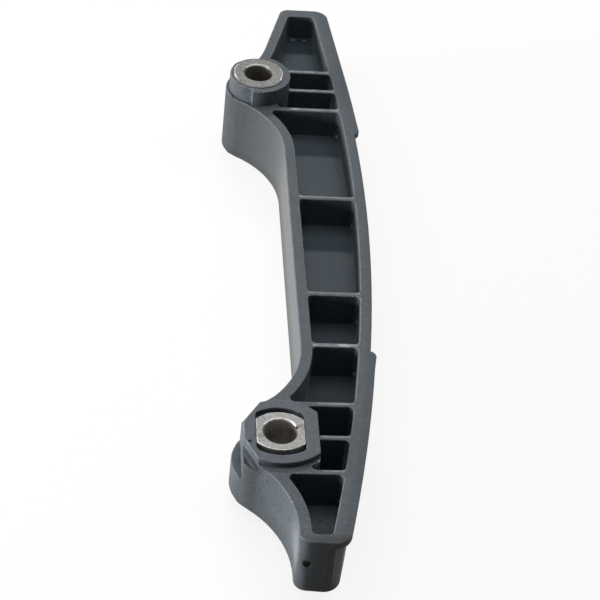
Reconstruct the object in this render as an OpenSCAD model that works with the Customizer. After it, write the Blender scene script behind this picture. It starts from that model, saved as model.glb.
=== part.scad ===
// Timing chain guide: a moulded rail that a chain runs along, with two steel sleeves for its bolts.
// Millimetres. X runs from the bolt line to the chain face, Y along the bolt line, Z along the bolts.
// The origin is the axis of the round (datum) hole, on the plane that the thick back of the rail rests on.

/* [Bolts] */
// Distance between the two bolt holes
bolt_pitch = 154; // [120:0.5:190]
// Diameter of both bolt holes
bolt_hole_d = 8.5; // [6:0.1:9]
// Chamfer at the front mouth of a bolt hole
hole_chamfer = 0.5; // [0.2:0.1:0.8]

/* [Rail] */
// Thickness of the rail, back to front
rail_depth = 21; // [17:0.5:26]
// Distance from the datum hole to the far end
far_end = 46.3; // [40:0.1:56]
// Distance from the slotted hole to the near end
near_end = 35.8; // [35:0.1:46]
// Thickness of the outer walls
wall = 3.2; // [2.4:0.1:4]
// Thickness of the wall at the far end
far_wall = 3.9; // [2.4:0.1:5]
// Thickness of the wall at the near end
near_wall = 2.5; // [2:0.1:4]
// Thickness of the ribs
rib_t = 1.65; // [1.2:0.05:2.4]
// Thickness of the web between front and back pockets
web_t = 2.4; // [1.6:0.1:3.2]
// Depth of the front pockets towards the far end
far_depth = 8.3; // [6:0.1:11]
// Depth of the front pockets towards the near end
near_depth = 11.4; // [6:0.1:12]
// Corner radius of the pockets
pocket_r = 1.3; // [0.6:0.1:1.8]
// Rib spacing beside the datum hole
far_rib_gap = 10.3; // [9:0.1:14]
// Rib spacing beside the slotted hole
near_rib_gap = 12.2; // [11:0.1:16]
// How far the ribs at the holes lie towards the near end
rib_shift = 0.28; // [0:0.02:0.4]
// Depth that the near end is set back from the rear plane
heel_set = 3.5; // [1:0.1:5]
// Distance from the slotted hole to the start of that set-back
heel_start = 28; // [20:0.5:36]

/* [Outline] */
// Distance from the bolt line to the back of the waist
waist_x = 6.95; // [4:0.05:10]
// Radius of the hollow flanks beside the bosses
flank_r = 29; // [24:0.5:34]
// Distance from the bolt line to the back wall at the far end
tip_x = 9.6; // [8:0.1:12]
// Lean of the back wall towards the far end
tip_lean = 14.8; // [10:0.1:18]
// Distance from the bolt line to the back wall at the near end
toe_x = 3; // [1:0.1:5]
// Lean of the near end face
end_lean = 4.5; // [0:0.5:12]
// Radius of the end corners on the back wall
end_r = 3.2; // [2:0.1:4]
// Radius of the end corners on the chain face
nose_r = 4.5; // [3:0.1:6]
// Diameter of the gate recess on the near end
gate_d = 2.4; // [1.5:0.1:3]
// Depth of the gate recess
gate_depth = 0.5; // [0.2:0.1:1]
// Distance from the bolt line to the gate recess
gate_x = 5.4; // [5:0.1:9]
// Height of the gate recess above the rear plane
gate_z = 13.2; // [9:0.1:15]

/* [Chain face] */
// Radius of the chain face
face_r = 611; // [450:1:900]
// Distance from the datum hole to the chain face
face_far_x = 27.3; // [24:0.1:32]
// Distance from the bolt line to the chain face at the near end
face_near_x = 13.9; // [12:0.1:20]
// Distance past the datum hole at which the face runs out straight
runout = 6; // [0:0.5:20]
// Height of the lips beside the chain
lip_h = 1.4; // [0.8:0.1:2]
// Thickness of the lips
lip_t = 2; // [1.4:0.1:3]
// Distance from the datum hole to the far front lip's inner end
far_lip_end = 22.5; // [15:0.5:40]
// Distance from the slotted hole to the near front lip's inner end
near_lip_end = 33; // [25:0.5:45]
// Gap along the chain between front and back lips
lip_gap = 3; // [1:0.5:8]
// Radius of the lips' inner ends
lip_end_r = 2.2; // [1.5:0.1:4]

/* [Datum boss] */
// Radius of the boss body in the outline
boss_r = 9.7; // [9:0.1:12]
// Height of the raised ring above the rail
ring_h = 5.2; // [3:0.1:8]
// Wall of the raised ring on its back half
ring_back_wall = 0.9; // [0.6:0.1:1.4]
// Wall of the raised ring on its chain half
ring_face_wall = 2.1; // [1.6:0.1:3]
// Turn of the step between the halves, about the hole
ring_turn = 13; // [0:1:20]
// How far the small pockets reach in below the ring
far_pocket_set = 3.9; // [2.5:0.1:5]

/* [Slotted boss] */
// Radius of the boss body in the outline
slot_boss_r = 11.8; // [11.6:0.1:14]
// Height of the plateau above the rail
plateau_h = 1.6; // [0.8:0.1:3]
// Length of the plateau along the rail
plateau_l = 22.7; // [21:0.1:23.4]
// Radius of the plateau's ends
plateau_end_r = 13.8; // [12.5:0.1:16]
// Radius of the plateau's corners
plateau_corner_r = 1; // [0.5:0.1:2]
// Width of the ledge below the plateau on the chain side
plateau_ledge = 0.9; // [0.4:0.1:1.2]
// Distance from the hole axis to the plateau's flat on the chain side
plateau_flat = 9.75; // [9:0.05:10.4]
// Distance from the hole axis to the flat on the back
back_flat = 9.3; // [8.6:0.05:10]
// Depth of the flat on the back below the front of the rail
back_flat_depth = 9; // [5:0.1:12]
// Distance from the hole axis to the far slanted trim
far_trim = 9.65; // [9:0.05:10]
// Angle of the far slanted trim, from the flat on the back
far_trim_angle = 32; // [26:0.5:38]
// Distance from the hole axis to the near slanted trim
near_trim = 9.6; // [9:0.05:10]
// Angle of the near slanted trim, from the flat on the back
near_trim_angle = 24.5; // [22:0.5:28]
// Depth of the slanted trims below the front of the rail
trim_depth = 2.7; // [1:0.1:5]
// How far the small pockets reach in below the plateau
near_pocket_set = 2.35; // [1:0.05:3]

/* [Sleeves] */
// Outside diameter of the round sleeve
round_sleeve_d = 15.6; // [13:0.1:17]
// How far the round sleeve stands proud of its ring
sleeve_proud = 0.5; // [0.1:0.1:1]
// Clearance round the round sleeve in its seat
seat_clear = 0.02; // [0:0.01:0.1]
// Width across the flats of the flatted sleeve
sleeve_w = 12.3; // [10.2:0.1:14]
// Length of the flatted sleeve along the rail
sleeve_l = 13.6; // [11.3:0.1:15]
// Radius of the flatted sleeve's ends
sleeve_end_r = 8.5; // [7.6:0.1:12]
// Running clearance at each flat
flat_clear = 0.06; // [0.03:0.01:0.1]
// Play of the flatted sleeve each way along its slot
slot_play = 1.6; // [0.5:0.1:1.8]
// Radius of the slot's ends
slot_end_r = 10.5; // [9:0.1:14]
// Radius of the slot's corners
slot_corner_r = 1.5; // [0.5:0.1:2]
// Outer edge chamfer of the round sleeve
sleeve_chamfer = 0.3; // [0.1:0.1:0.5]

/* [Hidden] */
$fn = 96;
rail_colour = "#555d64";
steel_colour = "#a9a69f";
// Largest turn between the points of an arc, and largest distances between points along the walls
arc_step = 5;
face_step = 9;
back_step = 2.5;
// Points closer than this count as one
same_point = 0.02;
// Places of the three ribs between the bosses, as shares of the span
mid_ribs = [0.337, 0.665, 0.826];
// Step along a wall over which its lean is taken
lean_step = 0.01;
// Overshoot of a cut
over = 1;

bolt_r = bolt_hole_d / 2;
slot_at = [0, -bolt_pitch];
near_y = -bolt_pitch - near_end;
ring_top = rail_depth + ring_h;
plateau_top = rail_depth + plateau_h;
round_sleeve_r = round_sleeve_d / 2;
ring_face_r = round_sleeve_r + ring_face_wall;
ring_back_r = round_sleeve_r + ring_back_wall;
slot_l = sleeve_l + 2 * slot_play;
slot_w = sleeve_w + 2 * flat_clear;

// Rib positions: three at each boss, and three shared out over the span between the bosses
span = bolt_pitch - far_rib_gap - near_rib_gap;
rib_places = concat(
    [far_rib_gap, 0, -far_rib_gap],
    [for (share = mid_ribs) -far_rib_gap - share * span],
    [-bolt_pitch + near_rib_gap, -bolt_pitch, -bolt_pitch - near_rib_gap]
);
ribs = [for (place = rib_places) place - rib_shift];
// Back edges of the small pockets that stop at the bosses
far_pocket_x = ring_face_r - far_pocket_set;
near_pocket_x = plateau_flat - near_pocket_set;

// Points along an arc, from angle a to angle b
function arc(centre, r, a, b) =
    let (n = max(2, ceil(abs(b - a) / arc_step)))
    [for (i = [0:n]) centre + r * [cos(a + (b - a) * i / n), sin(a + (b - a) * i / n)]];
function heading(p) = atan2(p[1], p[0]);
function last(path) = path[len(path) - 1];
// A closed path without the points that two arcs share where they meet
function merged(path) =
    [for (i = [0:len(path) - 1]) if (norm(path[i] - path[(i + 1) % len(path)]) > same_point) path[i]];

// The chain face is an arc from the near end to just past the datum hole, then a straight run-out
face_a = [face_far_x, 0];
face_b = [face_near_x, near_y];
face_half = norm(face_a - face_b) / 2;
face_in = [near_y, face_far_x - face_near_x] / (2 * face_half);
face_c = (face_a + face_b) / 2 + face_in * sqrt(face_r * face_r - face_half * face_half);
run_a = asin((runout - face_c[1]) / face_r);
function face_x(y, out = 0) =
    let (r = face_r + out, run_y = face_c[1] + r * sin(run_a))
    y > run_y ? face_c[0] + r * cos(run_a) - (y - run_y) * tan(run_a)
              : face_c[0] + sqrt(r * r - pow(y - face_c[1], 2));
function face_points(y0, y1, out = 0) =
    let (n = max(2, ceil(abs(y1 - y0) / face_step)))
    [for (i = [0:n]) let (y = y0 + (y1 - y0) * i / n) [face_x(y, out), y]];

// Centres of the four hollow flanks, each tangent to a boss and to a straight wall
tip_dir = [sin(tip_lean), cos(tip_lean)];
tip_out = [-cos(tip_lean), sin(tip_lean)];
tip_foot = [tip_x, far_end] + flank_r * tip_out;
tip_along = tip_foot * tip_dir;
tip_c = tip_foot - tip_dir
    * (tip_along - sqrt(tip_along * tip_along - tip_foot * tip_foot + pow(flank_r + boss_r, 2)));
waist_far_c = [waist_x - flank_r, -sqrt(pow(flank_r + boss_r, 2) - pow(waist_x - flank_r, 2))];
waist_near_c = slot_at + [waist_x - flank_r, sqrt(pow(flank_r + slot_boss_r, 2) - pow(waist_x - flank_r, 2))];
toe_c = slot_at + [toe_x - flank_r, -sqrt(pow(flank_r + slot_boss_r, 2) - pow(toe_x - flank_r, 2))];

function flank_x(centre, y, w) = centre[0] + sqrt(pow(flank_r + w, 2) - pow(y - centre[1], 2));
function tip_wall_x(y, w) = tip_x + (y - far_end) * tan(tip_lean) + w / cos(tip_lean);
// Back boundary at height y along the rail, set in by w; at a boss it is the edge of the small pockets
function back_x(y, w) =
    y > tip_c[1] - (flank_r + w) * sin(tip_lean) ? tip_wall_x(y, w)
    : y > far_rib_gap ? flank_x(tip_c, y, w)
    : y > -far_rib_gap ? far_pocket_x + w - wall
    : y > waist_far_c[1] ? flank_x(waist_far_c, y, w)
    : y > waist_near_c[1] ? waist_x + w
    : y > slot_at[1] + near_rib_gap ? flank_x(waist_near_c, y, w)
    : y > slot_at[1] - near_rib_gap ? near_pocket_x + w - wall
    : y > toe_c[1] ? flank_x(toe_c, y, w)
    : toe_x + w;
function back_points(y0, y1, w) =
    let (n = max(2, ceil(abs(y1 - y0) / back_step)))
    [for (i = [0:n]) let (y = y0 + (y1 - y0) * i / n) [back_x(y, w), y]];
// Lean of the two walls at y, from a small step along them
function back_lean(y, w) = atan((back_x(y + lean_step, w) - back_x(y - lean_step, w)) / (2 * lean_step));
function face_lean(y, w) = atan((face_x(y + lean_step, -w) - face_x(y - lean_step, -w)) / (2 * lean_step));

// The near end face leans, so its place depends on x
function end_y(x) = near_y - (x - toe_x) * tan(end_lean);
function nose_y(out, y, steps = 4) =
    steps == 0 ? y : nose_y(out, end_y(face_x(y, out - nose_r)) + nose_r / cos(end_lean), steps - 1);

// Corners between the chain face and the two ends, with the face moved out by a given amount
function near_nose(out) =
    let (y = nose_y(out, near_y + nose_r))
    arc([face_x(y, out - nose_r), y], nose_r, 270 - end_lean, 360 - face_lean(y, nose_r));
function far_nose(out) =
    let (y = far_end - nose_r)
    arc([face_x(y, out - nose_r), y], nose_r, -face_lean(y, nose_r), 90);

// Rounded end of a lip at y, for the end on the far side (side 1) or the near side (side -1)
function blunt_end(y, side) =
    let (
        sweep = acos(1 - lip_h / lip_end_r),
        centre = [face_x(y, lip_h - lip_end_r), y - side * lip_end_r * sin(sweep)]
    )
    side > 0 ? arc(centre, lip_end_r, 0, sweep) : arc(centre, lip_end_r, -sweep, 0);

function rail_outline() =
    let (
        toe_y = end_y(toe_x + end_r) + end_r / cos(end_lean),
        tip_y = far_end - end_r
    )
    concat(
        arc([toe_x + end_r, toe_y], end_r, 180, 270 - end_lean),
        near_nose(0),
        face_points(near_y + 2 * nose_r, far_end - 2 * nose_r),
        far_nose(0),
        arc([tip_wall_x(tip_y, end_r), tip_y], end_r, 90, 180 - tip_lean),
        arc(tip_c, flank_r, -tip_lean, heading(-tip_c)),
        arc([0, 0], boss_r, heading(tip_c), 360 + heading(waist_far_c)),
        arc(waist_far_c, flank_r, heading(-waist_far_c), 0),
        arc(waist_near_c, flank_r, 0, heading(slot_at - waist_near_c)),
        arc(slot_at, slot_boss_r, heading(waist_near_c - slot_at), 360 + heading(toe_c - slot_at)),
        arc(toe_c, flank_r, heading(slot_at - toe_c), 0)
    );

// A pocket between two ribs: its four corners are rounded and its sides follow the walls
function pocket_outline(y0, y1) =
    let (
        r = pocket_r, w = wall + r, ya = y0 + r, yb = y1 - r,
        back_a = back_lean(ya, w), back_b = back_lean(yb, w),
        face_la = face_lean(ya, w), face_lb = face_lean(yb, w)
    )
    concat(
        arc([back_x(ya, w), ya], r, 180 - back_a, 270),
        arc([face_x(ya, -w), ya], r, 270, 360 - face_la),
        face_points(ya + r, yb - r, -wall),
        arc([face_x(yb, -w), yb], r, -face_lb, 90),
        arc([back_x(yb, w), yb], r, 90, 180 - back_b),
        back_points(yb - r, ya + r, wall)
    );

// Front pockets get deeper towards the near end
function pocket_depth(y) = far_depth + (near_depth - far_depth) * (far_end - y) / (far_end - near_y);

// Pockets in the front and the back, with the web between them
module pockets() {
    edges = concat([far_end - far_wall + rib_t / 2], ribs, [near_y + near_wall - rib_t / 2]);
    for (i = [0:len(edges) - 2]) {
        shape = merged(pocket_outline(edges[i + 1] + rib_t / 2, edges[i] - rib_t / 2));
        depth = pocket_depth((edges[i] + edges[i + 1]) / 2);
        translate([0, 0, rail_depth - depth])
            linear_extrude(depth + over)
                polygon(shape);
        translate([0, 0, -over])
            linear_extrude(rail_depth - depth - web_t + over)
                polygon(shape);
    }
}

// A lip on the chain face: its two ends are given as points, and its root lies inside the wall
module lip(z, low, high, root_low, root_high) {
    y0 = last(low)[1];
    y1 = high[0][1];
    translate([0, 0, z])
        linear_extrude(lip_t)
            polygon(merged(concat(
                low,
                face_points(y0 + nose_r, y1 - nose_r, lip_h),
                high,
                face_points(root_high, root_low, -wall / 2)
            )));
}

// Two front lips run out round the end corners, and one back lip covers the stretch between them
module lips() {
    front = rail_depth - lip_t;
    far_y = -far_lip_end;
    mid_y = -bolt_pitch + near_lip_end;
    lip(front, blunt_end(far_y, -1), concat(far_nose(lip_h), [last(far_nose(0))]), far_y, far_end - wall);
    lip(front, concat([near_nose(0)[0]], near_nose(lip_h)), blunt_end(mid_y, 1), near_y + wall, mid_y);
    lip(0, blunt_end(mid_y + lip_gap, -1), blunt_end(far_y - lip_gap, 1), mid_y + lip_gap, far_y - lip_gap);
}

// The datum boss carries a raised ring whose back half is thinner, with a step between the halves
module datum_boss() {
    difference() {
        cylinder(h = ring_top, r = ring_face_r);
        rotate(-ring_turn)
            translate([-2 * boss_r, -boss_r - over, -over])
                cube([2 * boss_r, 2 * (boss_r + over), ring_top + 2 * over]);
    }
    translate([0, 0, rail_depth - web_t])
        cylinder(h = ring_h + web_t, r = ring_back_r);
}

// The slotted boss ends in a low plateau; on the chain side a ledge at the rail's own height carries it
module slotted_boss() {
    ledge_l = plateau_l + 2 * plateau_ledge;
    ledge_end_r = plateau_end_r + plateau_ledge;
    translate([slot_at[0], slot_at[1], rail_depth - trim_depth])
        linear_extrude(trim_depth + plateau_h)
            polygon(merged(rounded_oval(plateau_flat, plateau_l, plateau_end_r, plateau_corner_r)));
    translate(slot_at)
        linear_extrude(rail_depth)
            intersection() {
                polygon(merged(rounded_oval(plateau_flat, ledge_l, ledge_end_r, plateau_corner_r)));
                translate([0, -ledge_l])
                    square([plateau_flat + over, 2 * ledge_l]);
            }
}

// A cut across the back of the slotted boss, square to a turned line and down to a given depth
module boss_trim(distance, angle, depth) {
    reach = 2 * slot_boss_r;
    translate(slot_at)
        rotate(angle)
            translate([-distance - reach, -reach, rail_depth - depth])
                cube([reach, 2 * reach, plateau_top]);
}

// Trims on the back of the slotted boss: one deep flat, and two slanted ones to a shallow ledge
module boss_trims() {
    boss_trim(back_flat, 0, back_flat_depth);
    boss_trim(near_trim, near_trim_angle, trim_depth);
    boss_trim(far_trim, -far_trim_angle, trim_depth);
}

// The near end is set back from the rear plane behind a short ramp
module heel_cut() {
    rotate([90, 0, 90])
        translate([0, 0, -2 * slot_boss_r])
            linear_extrude(4 * slot_boss_r + face_far_x)
                polygon([
                    [near_y - 2 * nose_r, -over], [-bolt_pitch + heel_start + heel_set + over, -over],
                    [-bolt_pitch + heel_start, heel_set], [near_y - 2 * nose_r, heel_set]
                ]);
}

// Outline of a flatted oval with rounded corners: flats at x = -w and x = w, and an arc at each end
function rounded_oval(w, l, end_radius, corner_r) =
    let (
        end_y = l / 2 - end_radius,
        corner_x = w - corner_r,
        rise = sqrt(pow(end_radius - corner_r, 2) - corner_x * corner_x),
        turn = atan2(rise, corner_x)
    )
    concat(
        arc([corner_x, end_y + rise], corner_r, 0, turn),
        arc([0, end_y], end_radius, turn, 180 - turn),
        arc([-corner_x, end_y + rise], corner_r, 180 - turn, 180),
        arc([-corner_x, -end_y - rise], corner_r, 180, 180 + turn),
        arc([0, -end_y], end_radius, 180 + turn, 360 - turn),
        arc([corner_x, -end_y - rise], corner_r, 360 - turn, 360)
    );

// A flatted oval: two flats across X, and an arc at each end along Y
module flatted_oval(w, l, end_radius) {
    intersection() {
        square([w, l + over], center = true);
        translate([0, l / 2 - end_radius])
            circle(r = end_radius);
        translate([0, end_radius - l / 2])
            circle(r = end_radius);
    }
}

// The shallow round recess that the moulding gate leaves on the near end
module gate_recess() {
    translate([gate_x, end_y(gate_x), gate_z])
        rotate([90, 0, -end_lean])
            translate([0, 0, -gate_depth])
                cylinder(h = gate_depth + over, r = gate_d / 2);
}

module guide_rail() {
    color(rail_colour)
        difference() {
            union() {
                difference() {
                    linear_extrude(rail_depth)
                        polygon(merged(rail_outline()));
                    pockets();
                }
                datum_boss();
                slotted_boss();
                lips();
            }
            boss_trims();
            heel_cut();
            gate_recess();
            translate([0, 0, -over])
                cylinder(h = ring_top + 2 * over, r = round_sleeve_r + seat_clear);
            translate([slot_at[0], slot_at[1], -over])
                linear_extrude(plateau_top + 2 * over)
                    polygon(merged(rounded_oval(slot_w / 2, slot_l, slot_end_r, slot_corner_r)));
        }
}

module round_sleeve() {
    top = ring_top + sleeve_proud;
    color(steel_colour)
        rotate_extrude()
            polygon([
                [bolt_r, 0], [round_sleeve_r - sleeve_chamfer, 0],
                [round_sleeve_r, sleeve_chamfer], [round_sleeve_r, top - sleeve_chamfer],
                [round_sleeve_r - sleeve_chamfer, top], [bolt_r + hole_chamfer, top],
                [bolt_r, top - hole_chamfer]
            ]);
}

module flatted_sleeve() {
    length = plateau_top - heel_set;
    color(steel_colour)
        translate([slot_at[0], slot_at[1], heel_set])
            difference() {
                linear_extrude(length)
                    flatted_oval(sleeve_w, sleeve_l, sleeve_end_r);
                translate([0, 0, -over])
                    cylinder(h = length + 2 * over, r = bolt_r);
                translate([0, 0, length - hole_chamfer])
                    cylinder(h = hole_chamfer, r1 = bolt_r, r2 = bolt_r + hole_chamfer);
            }
}

guide_rail();
round_sleeve();
flatted_sleeve();
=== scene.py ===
import math
import bmesh
import bpy
from mathutils import Matrix, Vector


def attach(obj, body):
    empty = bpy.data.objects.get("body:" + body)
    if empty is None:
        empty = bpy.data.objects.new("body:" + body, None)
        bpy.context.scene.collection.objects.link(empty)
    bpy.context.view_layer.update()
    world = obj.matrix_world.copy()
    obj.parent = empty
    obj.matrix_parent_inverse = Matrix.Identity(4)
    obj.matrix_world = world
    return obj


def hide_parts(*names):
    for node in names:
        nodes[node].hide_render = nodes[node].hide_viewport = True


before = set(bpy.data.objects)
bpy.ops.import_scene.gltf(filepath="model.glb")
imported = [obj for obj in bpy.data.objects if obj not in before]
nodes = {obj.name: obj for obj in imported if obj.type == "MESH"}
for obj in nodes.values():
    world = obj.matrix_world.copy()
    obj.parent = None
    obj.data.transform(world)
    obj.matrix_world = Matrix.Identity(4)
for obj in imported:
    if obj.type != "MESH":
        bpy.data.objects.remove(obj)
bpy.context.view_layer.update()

scene = bpy.context.scene
mm = 0.001
print("frame loaded:", sorted(nodes))


# shader maths: a wrapped socket, so that finishes read as expressions
class Tone:
    def __init__(self, tree, socket=None):
        self.tree = tree
        self.socket = socket

    def make(self, kind, settings=None, inputs=None, out=0):
        n = self.tree.nodes.new(kind)
        for key, value in (settings or {}).items():
            if key == "stops":
                n.color_ramp.interpolation = "CONSTANT"
                ramp = n.color_ramp.elements
                while len(ramp) < len(value):
                    ramp.new(1.0)
                for stop, (at, level) in zip(ramp, value):
                    stop.position = at
                    stop.color = (level, level, level, 1)
            else:
                setattr(n, key, value)
        for key, value in (inputs or {}).items():
            if isinstance(value, Tone):
                self.tree.links.new(value.socket, n.inputs[key])
            else:
                n.inputs[key].default_value = value
        return Tone(self.tree, n.outputs[out])

    def also(self, out):
        return Tone(self.tree, self.socket.node.outputs[out])

    def sums(self, operation, a, b):
        return self.make("ShaderNodeMath", {"operation": operation}, {0: a, 1: b})

    def __add__(self, other):
        return self.sums("ADD", self, other)

    def __radd__(self, other):
        return self.sums("ADD", other, self)

    def __sub__(self, other):
        return self.sums("SUBTRACT", self, other)

    def __rsub__(self, other):
        return self.sums("SUBTRACT", other, self)

    def __mul__(self, other):
        return self.sums("MULTIPLY", self, other)

    def __rmul__(self, other):
        return self.sums("MULTIPLY", other, self)

    def over(self, low, high):
        return self.make("ShaderNodeMapRange", {"clamp": True}, {0: self, 1: low, 2: high})

    def noise(self, at, scale, detail=2.0, rough=0.5):
        return self.make("ShaderNodeTexNoise", {"noise_dimensions": "3D"},
                         {"Vector": at, "Scale": scale, "Detail": detail, "Roughness": rough})

    def drawn(self, at, scale, detail=3.0, rough=0.6):
        stretched = self.make("ShaderNodeMapping", {}, {"Vector": at, "Scale": scale})
        return self.noise(stretched, 1, detail, rough)

    def away(self, at, centre):
        return self.make("ShaderNodeVectorMath", {"operation": "DISTANCE"}, {0: at, 1: centre}, 1)

    # a round dab with a soft edge, its place and radius in mm
    def dab(self, at, place, radius, level, core=0.55):
        centre = tuple(c * mm for c in place)
        return self.away(at, centre).over(radius * mm, radius * core * mm) * level

    def blend(self, share, a, b):
        return self.make("ShaderNodeMix", {"data_type": "RGBA"}, {0: share, 6: a, 7: b}, 2)

    def coated(self, base, coats):
        for share, colour in coats:
            base = self.blend(share, base, colour)
        return base

    def mark(self, name):
        return self.make("ShaderNodeAttribute", {"attribute_name": name}, out=2)


def newFinish(name):
    mat = bpy.data.materials.new(name)
    mat.use_nodes = True
    shader = mat.node_tree.nodes["Principled BSDF"]
    return mat, Tone(mat.node_tree), shader


def feed(shader, tone, **links):
    names = {"colour": "Base Color", "rough": "Roughness", "normal": "Normal"}
    for key, value in links.items():
        tone.tree.links.new(value.socket, shader.inputs[names[key]])


nylonLook = {
    "deep": (0.052, 0.061, 0.070, 1),
    "pale": (0.118, 0.136, 0.153, 1),
    "rim": (0.200, 0.214, 0.227, 1),
    "scuff": (0.275, 0.285, 0.295, 1),
    "waistSheen": (0.185, 0.178, 0.172, 1),
    "floor": (0.030, 0.046, 0.057, 1),
    "shade": (0.019, 0.022, 0.026, 1),
    "dustAndGlint": (0.56, 0.57, 0.58, 1),
    "pit": (0.006, 0.007, 0.008, 1),
    "paintedShade": (0.040, 0.039, 0.037, 1),
    "rough": 0.54,
    "gloss": 0.11,
    # noise: scale, detail, roughness
    "cloud": (26, 3),
    "mottle": (240, 4, 0.6),
    "grain": (1350, 4, 0.72),
    "rubbing": (620, 4, 0.7),
    "specks": (1900, 1, 0.5),
    # noise drawn out along an axis
    "flow": (900, 900, 60),
    "scuffs": (220, 1100, 1100),
    "nicks": (420, 700, 700),
    # noise levels where a mark starts and where it is full
    "levels": {
        "rubbing": (0.30, 0.62), "specks": (0.69, 0.76), "scuffs": (0.42, 0.60), "nicks": (0.53, 0.60),
    },
    "bump": {"Strength": 0.28, "Distance": 0.06 * mm},
    # how much of each coat covers what is under it
    "cover": {
        "waist": 0.55, "toe": 0.75, "plateau": 0.3, "farFront": 0.28, "rubAndSheen": 0.55,
        "scuff": 0.82, "nick": 0.9, "face": 0.45, "low": 0.6, "endWall": 0.85,
        "upperBoss": 0.40, "bossSide": 0.55, "ledge": 0.85, "crease": 0.35,
    },
    # zones in mm: an axis, where the zone starts on it and where it is full
    "zones": {
        "front": (("z", 20.6, 20.9), ("z", 21.6, 21.3)),
        "farFront": (("y", -150, -90),),
        "plateau": (("z", 22.3, 22.5), ("y", -130, -140)),
        "waist": (("x", 9.4, 7.6), ("y", -8, -34), ("y", -142, -116), ("z", 20.9, 20.5)),
        "toe": (("x", 3.6, 3.1),),
        "ribs": (("x", 9.9, 10.5),),
        "nearRibs": (("y", -90, -140),),
        "low": (("z", 10, 1),),
        "nearEnd": (("y", -186.5, -189),),
        "endWall": (("x", 4, 8),),
        "upperBoss": (("y", -42, -18), ("x", 9, 6), ("z", 20.9, 20.5)),
        "bossSide": (("z", 18.2, 17.2),),
        "ledge": (("z", 17.9, 18.2), ("z", 20.3, 19.7), ("x", -4, -5),
                  ("y", -155.8, -156.6), ("y", -166.5, -164)),
        "crease": (("z", 5, 9), ("z", 19.5, 18)),
    },
    "ribs": (-166.48, -154.28, -142.08, -119.20, -98.03, -54.90, -10.58, -0.28, 10.02),
    "ribHalf": 0.83,
    "ribSpan": (-190, 50),
    "ribFoot": (2.9 * mm, 3.7 * mm),
    "nickShare": 0.35,
    "faceCentre": (-581.45 * mm, -52.39 * mm, 0),
    "faceRadius": 611 * mm,
    "faceEdge": (1.7 * mm, 0.2 * mm),
    "toeAt": (3.0 * mm, -185.0 * mm, 14.0 * mm),
    "toeReach": (7.5 * mm, 2.5 * mm),
    "bossShade": (-6.8 * mm, -163.6 * mm, 0),
    "bossReach": (4.2 * mm, 0.6 * mm),
    "creaseAt": 12.3 * mm,
    "creaseHalf": (0.2 * mm, 0.1 * mm),
    # painted shade in the pit on the plateau and in the gate recess: place, radius and level
    "pits": (((-7.87, -157.92, 22.6), 0.68, 1.0), ((5.5, -189.3, 12.9), 1.3, 1.0)),
    # painted highlights: glints at the corners of the pocket floors, a bright line along the far pocket's
    # floor, and a streak on a small pocket's edge
    "glints": (
        (0.65, 1.0, ((24.84, -12.0, 12.4), (26.29, -56.7, 12.4), (24.39, -99.7, 12.4), (22.27, -120.7, 12.2),
                     (15.01, -168.1, 12.1))),
        (0.42, 0.45, ((13.5, 41.5, 12.5), (14.0, 41.5, 12.5), (14.5, 41.5, 12.5), (17.4, 41.5, 12.5),
                      (17.9, 41.5, 12.5))),
        (0.42, 0.8, ((8.4, -163.6, 19.75), (8.65, -163.4, 20.1), (8.9, -163.2, 20.4), (9.13, -162.97, 20.7),
                     (9.35, -162.75, 21.0))),
    ),
}


def zone(axes, name):
    share = 1
    for axis, start, full in nylonLook["zones"][name]:
        share = share * axes[axis].over(start * mm, full * mm)
    return share


def alongRibs(t, y, low, high):
    first, last = nylonLook["ribSpan"]
    length = last - first
    stops = [(0, 0)]
    for rib in nylonLook["ribs"]:
        stops += [((rib + low - first) / length, 1), ((rib + high - first) / length, 0)]
    return t.make("ShaderNodeValToRGB", {"stops": stops}, {0: y.over(first * mm, last * mm)})


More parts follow.
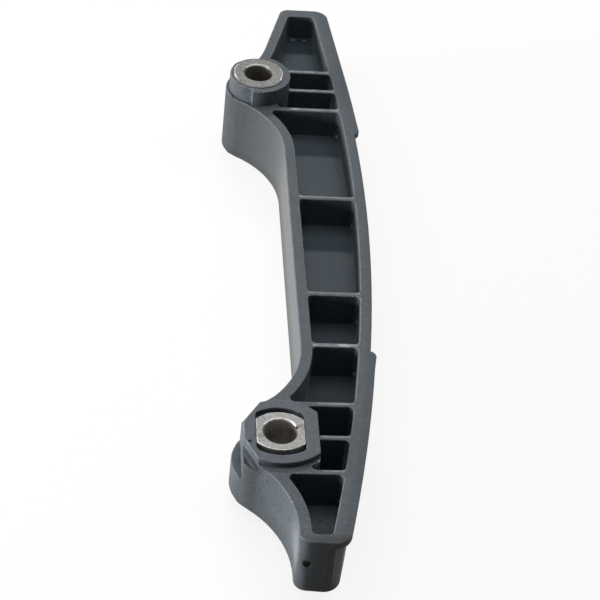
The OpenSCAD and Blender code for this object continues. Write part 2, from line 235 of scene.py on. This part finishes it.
def nylonFinish():
    mat, t, shader = newFinish("satinNylon")
    look = nylonLook
    cover = look["cover"]
    levels = look["levels"]
    at = t.make("ShaderNodeTexCoord", out=3)
    x = t.make("ShaderNodeSeparateXYZ", {}, {0: at})
    y = x.also(1)
    axes = {"x": x, "y": y, "z": x.also(2)}
    flat = t.make("ShaderNodeCombineXYZ", {}, {0: x, 1: y})
    inside = look["faceRadius"] - t.away(flat, look["faceCentre"])
    front = zone(axes, "front")
    nearEnd = zone(axes, "nearEnd")

    cloud = t.noise(at, *look["cloud"])
    mottle = t.noise(at, *look["mottle"])
    grain = t.noise(at, *look["grain"])
    flow = t.drawn(at, look["flow"])  # faint flow streaks along the bolts
    body = t.blend(cloud * 0.45 + mottle * 0.55 + grain * 2.1 - 1.05, look["deep"], look["pale"])

    # rims are paler and broken up so that they look rubbed, with a painted highlight on them too
    rim = t.mark("rim")
    rubAndSheen = rim * t.noise(at, *look["rubbing"]).over(*levels["rubbing"])
    speck = t.noise(at, *look["specks"]).over(*levels["specks"])
    # a painted highlight down the rounded toe
    toe = t.away(at, look["toeAt"]).over(*look["toeReach"]) * zone(axes, "toe")

    # rib tops are rubbed too, with nicks on their near edges, most of them near the slotted boss
    half = look["ribHalf"]
    onRib = front * inside.over(*look["ribFoot"]) * zone(axes, "ribs")
    stroke = t.drawn(at, look["scuffs"]).over(*levels["scuffs"])
    scuff = onRib * alongRibs(t, y, -half, half) * (0.36 + stroke * 0.75)
    edge = onRib * alongRibs(t, y, -half, -half * look["nickShare"])
    chip = t.drawn(at, look["nicks"]).over(*levels["nicks"])
    nick = edge * chip * (0.25 + zone(axes, "nearRibs") * 0.75)

    # painted shade low on the walls, over the near end wall and on the sides of the bosses
    endWall = nearEnd * zone(axes, "endWall")
    bossSide = t.away(flat, look["bossShade"]).over(*look["bossReach"]) * zone(axes, "bossSide")
    paintedShade = zone(axes, "low") * cover["low"]
    paintedShade = t.sums("MAXIMUM", paintedShade, endWall * cover["endWall"])
    paintedShade = t.sums("MAXIMUM", paintedShade, zone(axes, "upperBoss") * cover["upperBoss"])
    paintedShade = t.sums("MAXIMUM", paintedShade, bossSide * cover["bossSide"])

    # a painted highlight along a crease on the near end
    offset = x - look["creaseAt"]
    outer, inner = look["creaseHalf"]
    crease = nearEnd * (offset * offset).over(outer * outer, inner * inner) * zone(axes, "crease")

    coats = [
        # painted shade on the pocket floors
        (t.mark("sunk") * (grain * 1.2 + 0.4), look["floor"]),
        # painted reflection on the hollow waist wall
        (zone(axes, "waist") * cover["waist"], look["waistSheen"]),
        (toe * cover["toe"], look["rim"]),
        (zone(axes, "plateau") * cover["plateau"], look["pale"]),
        # painted shade: the front is darker towards the far end, evening out the lamps
        (front * zone(axes, "farFront") * cover["farFront"], look["deep"]),
        (rubAndSheen * cover["rubAndSheen"], look["rim"]),
        (scuff * cover["scuff"], look["scuff"]),
        (nick * cover["nick"], look["dustAndGlint"]),
        (speck * (rim * 0.55 + 0.08), look["dustAndGlint"]),
        # painted shade along the front's edge at the chain face
        (front * inside.over(*look["faceEdge"]) * cover["face"], look["deep"]),
        (paintedShade * (mottle + 0.4), look["paintedShade"]),
        # painted shade on the ledge under the near trim
        (zone(axes, "ledge") * cover["ledge"], look["shade"]),
        (crease * cover["crease"], look["rim"]),
    ]
    # painted shade in the pit and the gate recess
    coats += [(t.dab(at, *pit), look["pit"]) for pit in look["pits"]]
    # painted highlights at the pocket corners and edges
    for radius, level, places in look["glints"]:
        coats += [(t.dab(at, place, radius, level), look["dustAndGlint"]) for place in places]

    rough = look["rough"] + (grain - 0.5) * 0.22 + (flow - 0.5) * 0.14 - rubAndSheen * 0.10
    bump = t.make("ShaderNodeBump", {}, {**look["bump"], "Height": grain * 0.6 + mottle * 0.4})
    feed(shader, t, colour=t.coated(body, coats), rough=rough, normal=bump)
    shader.inputs["Specular IOR Level"].default_value = look["gloss"]
    return mat


steelLook = {
    "dark": (0.055, 0.0545, 0.053, 1),
    "light": (0.315, 0.313, 0.307, 1),
    "pit": (0.03, 0.028, 0.026, 1),
    "rim": (0.80, 0.79, 0.77, 1),
    "bore": (0.125, 0.114, 0.099, 1),
    "boreWorn": (0.36, 0.33, 0.29, 1),
    "rough": 0.66,
    "metallic": 0.85,
    "cloud": (210, 3),
    "grain": (1700, 4, 0.7),
    "fine": (4200, 2, 0.6),
    "pits": (1250, 2, 0.5),
    "rubbing": (420, 3, 0.6),
    "stains": (420, 420, 260),
    "levels": {"pits": (0.62, 0.70), "rubbing": (0.36, 0.66), "stains": (0.35, 0.75)},
    "cover": {"pits": 0.55, "rubAndSheen": 0.85, "looseBore": 0.3},
    "bump": {"Strength": 0.35, "Distance": 0.05 * mm},
    # along the rail, from the fixed sleeve to the loose one
    "looseFrom": (-60 * mm, -140 * mm),
    # a nick at the mouth of the loose sleeve and two smudges: place, radius and level
    "notches": (
        ((4.2, -152.5, 22.4), 0.62, 1.0),
        ((-5.0, -156.0, 22.6), 1.0, 0.35),
        ((5.3, -152.0, 22.6), 0.9, 0.35),
    ),
}


def steelFinish():
    mat, t, shader = newFinish("facedSteel")
    look = steelLook
    cover = look["cover"]
    levels = look["levels"]
    at = t.make("ShaderNodeTexCoord", out=3)
    y = t.make("ShaderNodeSeparateXYZ", {}, {0: at}, 1)
    loose = y.over(*look["looseFrom"])
    cloud = t.noise(at, *look["cloud"])
    grain = t.noise(at, *look["grain"])
    fine = t.noise(at, *look["fine"])
    # the loose sleeve is the brighter of the two
    share = cloud * 0.4 + grain * 1.7 + fine * 0.3 + loose * 0.32 - 0.85
    body = t.blend(share, look["dark"], look["light"])
    rim = t.mark("rim")
    # bores are dark and stained, with bare metal showing in places
    stain = t.drawn(at, look["stains"]).over(*levels["stains"])
    bored = t.blend(stain * (0.15 + loose * 0.85), look["bore"], look["boreWorn"])
    pits = t.noise(at, *look["pits"]).over(*levels["pits"])
    rubAndSheen = rim * t.noise(at, *look["rubbing"]).over(*levels["rubbing"])
    coats = [
        (pits * cover["pits"], look["pit"]),
        # rubbed edges, and the painted highlight on the far side of the bore's mouth
        (rubAndSheen * cover["rubAndSheen"], look["rim"]),
        (t.mark("sunk"), t.blend(loose * cover["looseBore"], bored, look["boreWorn"])),
    ]
    coats += [(t.dab(at, *notch), look["pit"]) for notch in look["notches"]]
    rough = look["rough"] + (grain - 0.5) * 0.3 - rim * 0.34
    bump = t.make("ShaderNodeBump", {}, {**look["bump"], "Height": grain * 0.5 + fine * 0.5})
    feed(shader, t, colour=t.coated(body, coats), rough=rough, normal=bump)
    shader.inputs["Metallic"].default_value = look["metallic"]
    return mat


# pieces: a merged copy of each node, with its edges rounded as on the real part
copyLook = {
    "merge": 0.004 * mm,
    "flat": math.radians(0.4),
    "room": 2.2,  # an edge needs this many widths of face beside it
    "touch": 0.001 * mm,
    "smooth": math.radians(34),
}


def deselect():
    bpy.ops.object.select_all(action="DESELECT")


def copyOf(node, name, cuts=()):
    piece = nodes[node].copy()
    piece.data = nodes[node].data.copy()
    piece.name = name
    piece.parent = None
    for key in list(piece.keys()):
        del piece[key]
    scene.collection.objects.link(piece)
    deselect()
    piece.select_set(True)
    bpy.context.view_layer.objects.active = piece
    bpy.ops.object.mode_set(mode="EDIT")
    bpy.ops.mesh.select_mode(type="EDGE")
    bpy.ops.mesh.select_all(action="SELECT")
    bpy.ops.mesh.remove_doubles(threshold=copyLook["merge"])
    # seams keep the joined flat faces free of holes
    for y in cuts:
        bpy.ops.mesh.select_all(action="SELECT")
        bpy.ops.mesh.bisect(plane_co=(0, y * mm, 0), plane_no=(0, 1, 0))
        bpy.ops.mesh.mark_seam()
    bpy.ops.mesh.select_all(action="SELECT")
    bpy.ops.mesh.dissolve_limited(angle_limit=copyLook["flat"], delimit={"SEAM"})
    # marks for the finishes: rubbed edges that also carry painted highlights, and faces sunk in bores and
    # pockets
    bm = bmesh.from_edit_mesh(piece.data)
    bm.faces.layers.float.new("rim")
    bm.faces.layers.float.new("sunk")
    bmesh.update_edit_mesh(piece.data)
    return piece


# distance across a face, square to an edge's middle, so that tapering ledges are left sharp
def roomAcross(loop):
    a = loop.vert.co
    b = loop.link_loop_next.vert.co
    mid = (a + b) / 2
    along = (b - a).normalized()
    inward = loop.face.normal.cross(along)
    places = [((v.co - mid).dot(along), (v.co - mid).dot(inward)) for v in loop.face.verts]
    room = 1.0
    for (s0, t0), (s1, t1) in zip(places, places[1:] + places[:1]):
        if s0 * s1 <= 0 and s0 != s1:
            t = t0 + (t1 - t0) * s0 / (s0 - s1)
            if t > copyLook["touch"]:
                room = min(room, t)
    return room


def roundEdges(piece, wanted, width, segments, rim):
    bpy.ops.mesh.select_all(action="DESELECT")
    bm = bmesh.from_edit_mesh(piece.data)
    bm.normal_update()
    chosen = [e for e in bm.edges if len(e.link_faces) == 2 and wanted(e)]
    needed = copyLook["room"] * width
    tight = {e for e in chosen if min(roomAcross(loop) for loop in e.link_loops) < needed}
    for e in chosen:
        e.select_set(not any(near in tight for v in e.verts for near in v.link_edges))
    bmesh.update_edit_mesh(piece.data)
    bpy.ops.mesh.bevel(offset=width, segments=segments, profile=0.5, affect="EDGES",
                       clamp_overlap=False, miter_outer="ARC")
    bm = bmesh.from_edit_mesh(piece.data)
    layer = bm.faces.layers.float["rim"]
    fresh = [f for f in bm.faces if f.select]
    for f in fresh:
        f[layer] = rim
    bmesh.update_edit_mesh(piece.data)
    print(piece.name, "has", len(fresh), "new faces on its edges")


def handOver(piece, node, body, mat):
    bpy.ops.object.mode_set(mode="OBJECT")
    bpy.ops.object.shade_smooth_by_angle(angle=copyLook["smooth"])
    weigh = piece.modifiers.new("weigh", "WEIGHTED_NORMAL")
    weigh.keep_sharp = True
    weigh.weight = 50
    bpy.ops.object.modifier_apply(modifier="weigh")
    piece.data.materials.clear()
    piece.data.materials.append(mat)
    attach(piece, body)
    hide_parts(node)
    print(piece.name, "is done,", len(piece.data.polygons), "faces")


railLook = {
    "outer": {"width": 0.32 * mm, "segments": 3, "rim": 1.0},
    "gate": {"width": 0.07 * mm, "segments": 2, "rim": 0.6},
    "floor": {"width": 0.40 * mm, "segments": 3, "rim": 0.0},
    "sharp": math.radians(40),
    "gateBox": ((3.4, 7.4), (-191, -186.5), (11.2, 15.2)),
    "smallPockets": ((-166.5, -142.1), (-10.6, 10.1)),
    "ends": (-187.3, 42.4),
    "floorZ": (9 * mm, 13 * mm),
    "floorLevel": 0.01 * mm,  # a floor's edge rises no more than this
    "floorUp": 0.99,
    "sunkUp": 0.9,
    "lastFloor": -166 * mm,
    "farFloor": 8 * mm,
    "farShade": 0.95,
    "floorShade": 0.65,
}


def within(e, box):
    return all(low * mm < v.co[i] < high * mm for v in e.verts for i, (low, high) in enumerate(box))


def sharpEdge(e):
    return e.calc_face_angle(0) > railLook["sharp"]


def outerEdge(e):
    return e.is_convex and sharpEdge(e) and not within(e, railLook["gateBox"])


def gateEdge(e):
    return e.is_convex and sharpEdge(e) and within(e, railLook["gateBox"])


def floorEdge(e):
    low, high = railLook["floorZ"]
    a, b = (v.co.z for v in e.verts)
    level = low < a < high and abs(a - b) < railLook["floorLevel"] and e.verts[0].co.x > 0
    above = any(f.normal.z > railLook["floorUp"] for f in e.link_faces)
    small = any(near * mm < e.verts[0].co.y < far * mm for near, far in railLook["smallPockets"])
    hollow = not e.is_convex and sharpEdge(e) and not within(e, railLook["gateBox"])
    return level and above and not small and hollow


def buildRail(mat):
    near, far = railLook["ends"]
    walls = (near,) + nylonLook["ribs"] + (far,)
    piece = copyOf("guide_rail", "mouldedRail", [(a + b) / 2 for a, b in zip(walls, walls[1:])])
    roundEdges(piece, floorEdge, **railLook["floor"])
    roundEdges(piece, outerEdge, **railLook["outer"])
    roundEdges(piece, gateEdge, **railLook["gate"])
    # painted shade on the pocket floors makes them darker and bluer than the rubbed front, most of all in
    # the far pocket
    bm = bmesh.from_edit_mesh(piece.data)
    sunk = bm.faces.layers.float["sunk"]
    low, high = railLook["floorZ"]
    for f in bm.faces:
        middle = f.calc_center_median()
        inPocket = low < middle.z < high and middle.y > railLook["lastFloor"] and middle.x > 0
        if inPocket and f.normal.z > railLook["sunkUp"]:
            f[sunk] = railLook["farShade"] if middle.y > railLook["farFloor"] else railLook["floorShade"]
    bmesh.update_edit_mesh(piece.data)
    handOver(piece, "guide_rail", "rail", mat)


sleeveLook = {
    "edge": {"width": 0.16 * mm, "segments": 2, "rim": 1.0},
    "sharp": math.radians(25),
    "boreR": 4.3 * mm,
    "boreTilt": 0.3,
    "mouthR": 4.9 * mm,
    # painted highlight levels for the far part of the bore's mouth; the rest gets dullMouth
    "farPart": 0.5,
    "dullMouth": 0.1,
    "datumMouth": 0.4,
    "looseMouth": 0.75,
    "datumAxis": (0, 0),
    "looseAxis": (0, -154 * mm),
}


def sleeveEdge(e):
    return e.is_convex and e.calc_face_angle(0) > sleeveLook["sharp"]


# the far side of the bore's mouth gets a painted highlight
def buildSleeve(node, name, body, axis, mouth, mat):
    piece = copyOf(node, name)
    roundEdges(piece, sleeveEdge, **sleeveLook["edge"])
    bm = bmesh.from_edit_mesh(piece.data)
    rim = bm.faces.layers.float["rim"]
    sunk = bm.faces.layers.float["sunk"]
    centre = Vector(axis)
    for f in bm.faces:
        reach = max((v.co.xy - centre).length for v in f.verts)
        if reach < sleeveLook["boreR"] and abs(f.normal.z) < sleeveLook["boreTilt"]:
            f[sunk] = 1.0
        elif reach < sleeveLook["mouthR"]:
            out = f.calc_center_median().xy - centre
            f[rim] = mouth if out.y > sleeveLook["farPart"] * out.length else sleeveLook["dullMouth"]
    bmesh.update_edit_mesh(piece.data)
    handOver(piece, node, body, mat)


nylon = nylonFinish()
steel = steelFinish()
print("finishes are mixed")
buildRail(nylon)
buildSleeve("round_sleeve", "datumSleeve", "rail", sleeveLook["datumAxis"], sleeveLook["datumMouth"], steel)
buildSleeve("flatted_sleeve", "floatingSleeve", "floating_sleeve",
            sleeveLook["looseAxis"], sleeveLook["looseMouth"], steel)


# stage: pale floor, soft lamps and the camera
stageLook = {
    "floorSize": 3.0,
    "floorAt": (0, -0.07, -0.00002),
    "floorColour": (0.45, 0.45, 0.45, 1),
    "floorRough": 0.9,
    "paperColour": (0.95, 0.95, 0.95, 1),
    "paper": 0.84,
    "white": (1, 1, 1, 1),
    "ambient": (0.03, 0.03, 0.03, 1),
    "gloss": 0.85,
}


# camera and transmission rays see plain white, and glossy rays a little less
def whiteRays(t, camera):
    glossy = camera.also(3)
    transmission = camera.also(6)
    clear = t.sums("MAXIMUM", camera, transmission)
    return t.sums("MAXIMUM", clear, glossy * stageLook["gloss"])


# the floor shows mostly its own white to the camera, and the rest keeps the shadow
def buildFloor():
    deselect()
    bpy.ops.mesh.primitive_plane_add(size=stageLook["floorSize"], location=stageLook["floorAt"])
    floor = bpy.context.object
    floor.name = "paleFloor"
    mat, t, shader = newFinish("palePaper")
    camera = t.make("ShaderNodeLightPath")
    seen = whiteRays(t, camera)
    glow = t.make("ShaderNodeEmission", {}, {"Color": stageLook["white"], "Strength": 1.0})
    feed(shader, t, colour=t.blend(camera, stageLook["floorColour"], stageLook["paperColour"]))
    shader.inputs["Roughness"].default_value = stageLook["floorRough"]
    matt = Tone(mat.node_tree, shader.outputs[0])
    both = t.make("ShaderNodeMixShader", {}, {0: seen * stageLook["paper"], 1: matt, 2: glow})
    mat.node_tree.links.new(both.socket, mat.node_tree.nodes["Material Output"].inputs[0])
    floor.data.materials.append(mat)


def buildWorld():
    world = bpy.data.worlds.new("studioAir")
    scene.world = world
    world.use_nodes = True
    tree = world.node_tree
    t = Tone(tree)
    seen = whiteRays(t, t.make("ShaderNodeLightPath"))
    back = tree.nodes["Background"]
    tree.links.new(t.blend(seen, stageLook["ambient"], stageLook["white"]).socket, back.inputs["Color"])
    back.inputs["Strength"].default_value = 1.0


lamps = {
    "farStrip": {"at": (0.0, 1.40, 1.23), "aim": (0.0, -0.07, 0.01), "size": (0.8, 0.13), "watts": 12.5},
    "overhead": {"at": (0.0, 0.10, 0.95), "aim": (0.0, -0.05, 0.01), "size": (2.4, 0.7), "watts": 10},
    "leftSide": {"at": (-0.66, -0.12, 0.10), "aim": (0.0, -0.12, 0.01), "size": (0.25, 0.18), "watts": 6.8},
}


def buildLamps():
    for name, look in lamps.items():
        lamp = bpy.data.lights.new(name, "AREA")
        lamp.shape = "RECTANGLE"
        lamp.size, lamp.size_y = look["size"]
        lamp.energy = look["watts"]
        holder = bpy.data.objects.new(name, lamp)
        scene.collection.objects.link(holder)
        holder.location = look["at"]
        aim = Vector(look["aim"]) - Vector(look["at"])
        holder.rotation_mode = "QUATERNION"
        holder.rotation_quaternion = aim.to_track_quat("-Z", "Y")


viewLook = {
    "at": (-0.04544, -0.50992, 0.36629),
    "lift": 39.95,
    "turn": 7.43,
    "roll": 6.72,
    "lens": 118.8,
    "sensor": 36,
    "nearest": 0.01,
}


def buildCamera():
    lift, turn, roll = (math.radians(viewLook[k]) for k in ("lift", "turn", "roll"))
    ahead = Vector((math.cos(lift) * math.sin(turn), math.cos(lift) * math.cos(turn), -math.sin(lift)))
    right = Vector((math.cos(turn), -math.sin(turn), 0))
    up = Vector((math.sin(lift) * math.sin(turn), math.sin(lift) * math.cos(turn), math.cos(lift)))
    across = math.cos(roll) * right + math.sin(roll) * up
    upward = -math.sin(roll) * right + math.cos(roll) * up
    data = bpy.data.cameras.new("photoView")
    data.lens = viewLook["lens"]
    data.sensor_width = viewLook["sensor"]
    data.clip_start = viewLook["nearest"]
    cam = bpy.data.objects.new("photoView", data)
    scene.collection.objects.link(cam)
    facing = Matrix((across, upward, -ahead)).transposed().to_4x4()
    cam.matrix_world = Matrix.Translation(Vector(viewLook["at"])) @ facing
    scene.camera = cam


buildFloor()
buildWorld()
buildLamps()
buildCamera()
scene.view_settings.view_transform = "Standard"
print("stage is set")
